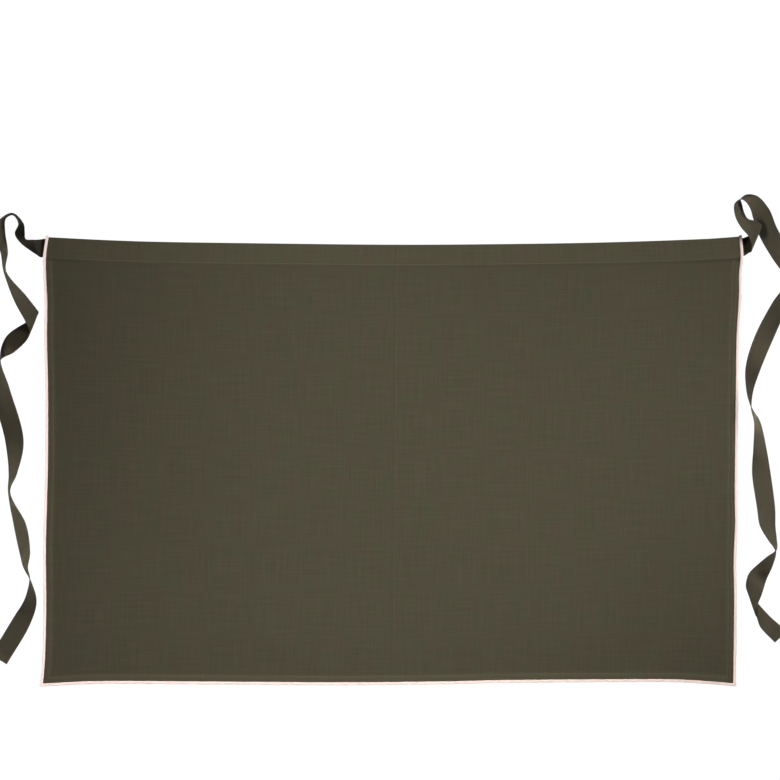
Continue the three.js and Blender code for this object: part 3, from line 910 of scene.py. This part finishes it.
class APRON_OT_stage(bpy.types.Operator):
    """Make the floor, the lights and the camera straight above the apron"""

    bl_idname = "apron.stage"
    bl_label = "Stage"

    def execute(self, context):
        scene = context.scene
        stage = scene.apron_stage
        scene.view_settings.view_transform = "Standard"
        world = bpy.data.worlds.new("studio")
        world.use_nodes = True
        background = world.node_tree.nodes["Background"]
        background.inputs["Color"].default_value = (1, 1, 1, 1)
        background.inputs["Strength"].default_value = stage.ambient
        scene.world = world

        mesh = bpy.data.meshes.new("floor")
        far = stage.floor
        corners = [(-far, -far, 0), (far, -far, 0), (far, far, 0), (-far, far, 0)]
        mesh.from_pydata(corners, [], [(0, 1, 2, 3)])
        mesh.materials.append(studio_paper("white_paper", scene.apron_colours.paper, stage.glow))
        floor = bpy.data.objects.new("floor", mesh)
        scene.collection.objects.link(floor)
        # The lit paper is for the eye: it throws no light up on to the turned faces of the ties
        floor.visible_diffuse = False

        # Columns: name, power, beam in degrees, place, aim, what the lamp lights, what can shade that.
        # The right softbox is three lamps in one place, of which only the first casts the ties' shadow.
        shadowed = TIE_SHADOW * stage.key_power
        free = stage.key_power - shadowed
        edge, tie = stage.edge_power, stage.tie_power
        lamps = (
            ("right_softbox", shadowed, *KEY_LIGHT, None, None),
            ("right_softbox_on_cloth", free, *KEY_LIGHT, "off_ties", "off_ties"),
            ("right_softbox_on_ties", free, *KEY_LIGHT, "ties", None),
            ("left_softbox", stage.fill_power, 45, (-1.08, 0.66, 1.06), (0.19, -0.58, 0), "off_ties", None),
            ("top_softbox", stage.top_power, 55, (-0.09, -0.15, 0.89), (-0.18, 0.6, 0), None, None),
            ("left_edge_light", 2 * edge, 180, (-1.6, 0, 0.5), (-0.45, 0, 0), "edging", "edging"),
            ("low_edge_light", edge, 180, (0, -1.45, 0.4), (0, -0.29, 0), "edging", "edging"),
            ("left_tie_light", 0.8 * tie, 16, (-1.4, -0.45, 0.35), (-0.475, -0.2, 0), "ties", None),
            ("right_tie_light", tie, 30, (-0.4, 0.1, 0.35), (0.48, -0.02, 0), "ties", None),
        )
        for name, watts, beam, place, aim, lit, shaded_by in lamps:
            light = bpy.data.lights.new(name, "AREA")
            light.energy = watts
            light.size = LAMP_SIZE
            light.spread = np.radians(beam)
            lamp = bpy.data.objects.new(name, light)
            lamp.visible_camera = False
            lamp.location = place
            lamp.rotation_euler = (lamp.location - Vector(aim)).to_track_quat("Z", "Y").to_euler()
            lamp.light_linking.receiver_collection = light_group(lit) if lit else None
            lamp.light_linking.blocker_collection = light_group(shaded_by) if shaded_by else None
            scene.collection.objects.link(lamp)

        lens = bpy.data.cameras.new("camera")
        lens.lens = stage.lens
        lens.sensor_width = 36
        lens.clip_end = 100
        camera = bpy.data.objects.new("camera", lens)
        camera.location = (stage.camera_x, stage.camera_y, stage.camera_height)
        scene.collection.objects.link(camera)
        scene.camera = camera
        return {"FINISHED"}


class APRON_OT_panel(bpy.types.Operator):
    """Make the cloth panel with its waistband and its narrow hems"""

    bl_idname = "apron.panel"
    bl_label = "Cloth panel"

    def execute(self, context):
        s = context.scene.apron_sizes
        c = context.scene.apron_colours
        cloth = woven_cloth(
            "olive_linen", s.weave, c.green_olive, c.brown_olive, c.lint,
            slub_width=2.2 * MM, slub_length=60 * MM, slub=0.15, sheen=0.22, bloom=0.45,
        )
        skin, tone = panel_skin(s)
        panel = make_piece("cloth_panel", skin, cloth, np.radians(50), ("tone", tone))
        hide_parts("panel")
        return {"FINISHED"}


class APRON_OT_edging(bpy.types.Operator):
    """Make the thread wound over three edges, with the needle thread beside it"""

    bl_idname = "apron.edging"
    bl_label = "Wound edging"

    def execute(self, context):
        s = context.scene.apron_sizes
        colours = context.scene.apron_colours
        pink = spun_thread("pale_pink_thread", colours.pale_pink, 0.9 * MM, colours.red_brown)
        for name, (line, across) in edging_lines(s).items():
            skin = wound_edging(s, line, across)
            # The right winding's top: the knot's colour, and painted shade fading out below it
            marks = ("knot_shade", knot_and_painted_shade(skin)) if name == "right" else None
            edging = make_piece("wound_edging_" + name, skin, pink, marks=marks)
            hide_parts("edging_" + name)
            light_group("edging").objects.link(edging)
        # The needle thread's dark colour is partly painted shade in the valley beside the edging
        brown = spun_thread("red_brown_thread", colours.red_brown, 0.9 * MM, colours.red_brown)
        rows = [stitches(line, UP, s.stitch, 0.0, s.needle_thread) for line in needle_lines(s)]
        make_piece("needle_thread", joined(rows), brown)
        return {"FINISHED"}


class APRON_OT_stitching(bpy.types.Operator):
    """Make the rows of stitching along the waistband and the hems"""

    bl_idname = "apron.stitching"
    bl_label = "Stitching"

    def execute(self, context):
        s = context.scene.apron_sizes
        thread_olive = context.scene.apron_colours.thread_olive
        olive = spun_thread("olive_thread", thread_olive, 0.8 * MM, thread_olive)
        seam, *hems = seam_lines(s)
        rows = [stitches(seam, UP, s.stitch, s.stitch_gap, s.sewing_thread)]
        rows += [stitches(line, UP, s.stitch, s.stitch_gap, s.hem_thread) for line in hems]
        make_piece("seam_stitching", joined(rows), olive)
        ends = [end_line(s, *tie) for tie in TIES.values()]
        rows = [stitches(line, up, s.stitch, s.stitch_gap, s.hem_thread) for line, up in ends]
        make_piece("tie_end_stitching", joined(rows), olive)
        return {"FINISHED"}


class APRON_OT_ties(bpy.types.Operator):
    """Make the two flat tapes that lie twisted beside the panel"""

    bl_idname = "apron.ties"
    bl_label = "Tape ties"

    def execute(self, context):
        s = context.scene.apron_sizes
        c = context.scene.apron_colours
        tape = woven_cloth(
            "olive_tape", 0.8 * s.weave, c.tape_olive, c.tape_brown, c.lint,
            slub_width=1.6 * MM, slub_length=30 * MM, slub=0.1, sheen=0.3, bloom=0.2,
        )
        for name, (side, table) in TIES.items():
            skin, tone = tape_skin(s, side, table)
            tie = make_piece("tape_tie_" + name, skin, tape, np.radians(60), ("tone", tone))
            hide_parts("tie_" + name)
            for group, state in (("ties", "INCLUDE"), ("off_ties", "EXCLUDE")):
                members = light_group(group)
                members.objects.link(tie)
                members.collection_objects[-1].light_linking.link_state = state
            run = tape_frame(s, side, table)[3]
        return {"FINISHED"}


class APRON_PT_sidebar(bpy.types.Panel):
    """The apron's sizes, colours and pieces"""

    bl_idname = "APRON_PT_sidebar"
    bl_label = "Waist apron"
    bl_space_type = "VIEW_3D"
    bl_region_type = "UI"
    bl_category = "Apron"

    def draw(self, context):
        layout = self.layout
        for group in (getattr(context.scene, name) for name in GROUPS):
            box = layout.box()
            for name in group.__annotations__:
                box.prop(group, name)
        for operator in OPERATORS:
            layout.operator(operator.bl_idname)


OPERATORS = (APRON_OT_stage, APRON_OT_panel, APRON_OT_edging, APRON_OT_stitching, APRON_OT_ties)
GROUPS = {"apron_sizes": ApronSizes, "apron_colours": ApronColours, "apron_stage": ApronStage}
CLASSES = (*GROUPS.values(), *OPERATORS, APRON_PT_sidebar)


def register():
    for cls in CLASSES:
        bpy.utils.register_class(cls)
    for name, group in GROUPS.items():
        setattr(bpy.types.Scene, name, PointerProperty(type=group))


def unregister():
    for name in GROUPS:
        delattr(bpy.types.Scene, name)
    for cls in reversed(CLASSES):
        bpy.utils.unregister_class(cls)


def main():
    """Makes the stage and every piece in order."""
    register()
    bpy.ops.apron.stage()
    bpy.ops.apron.panel()
    bpy.ops.apron.edging()
    bpy.ops.apron.ties()
    bpy.ops.apron.stitching()


if __name__ == "__main__":
    main()
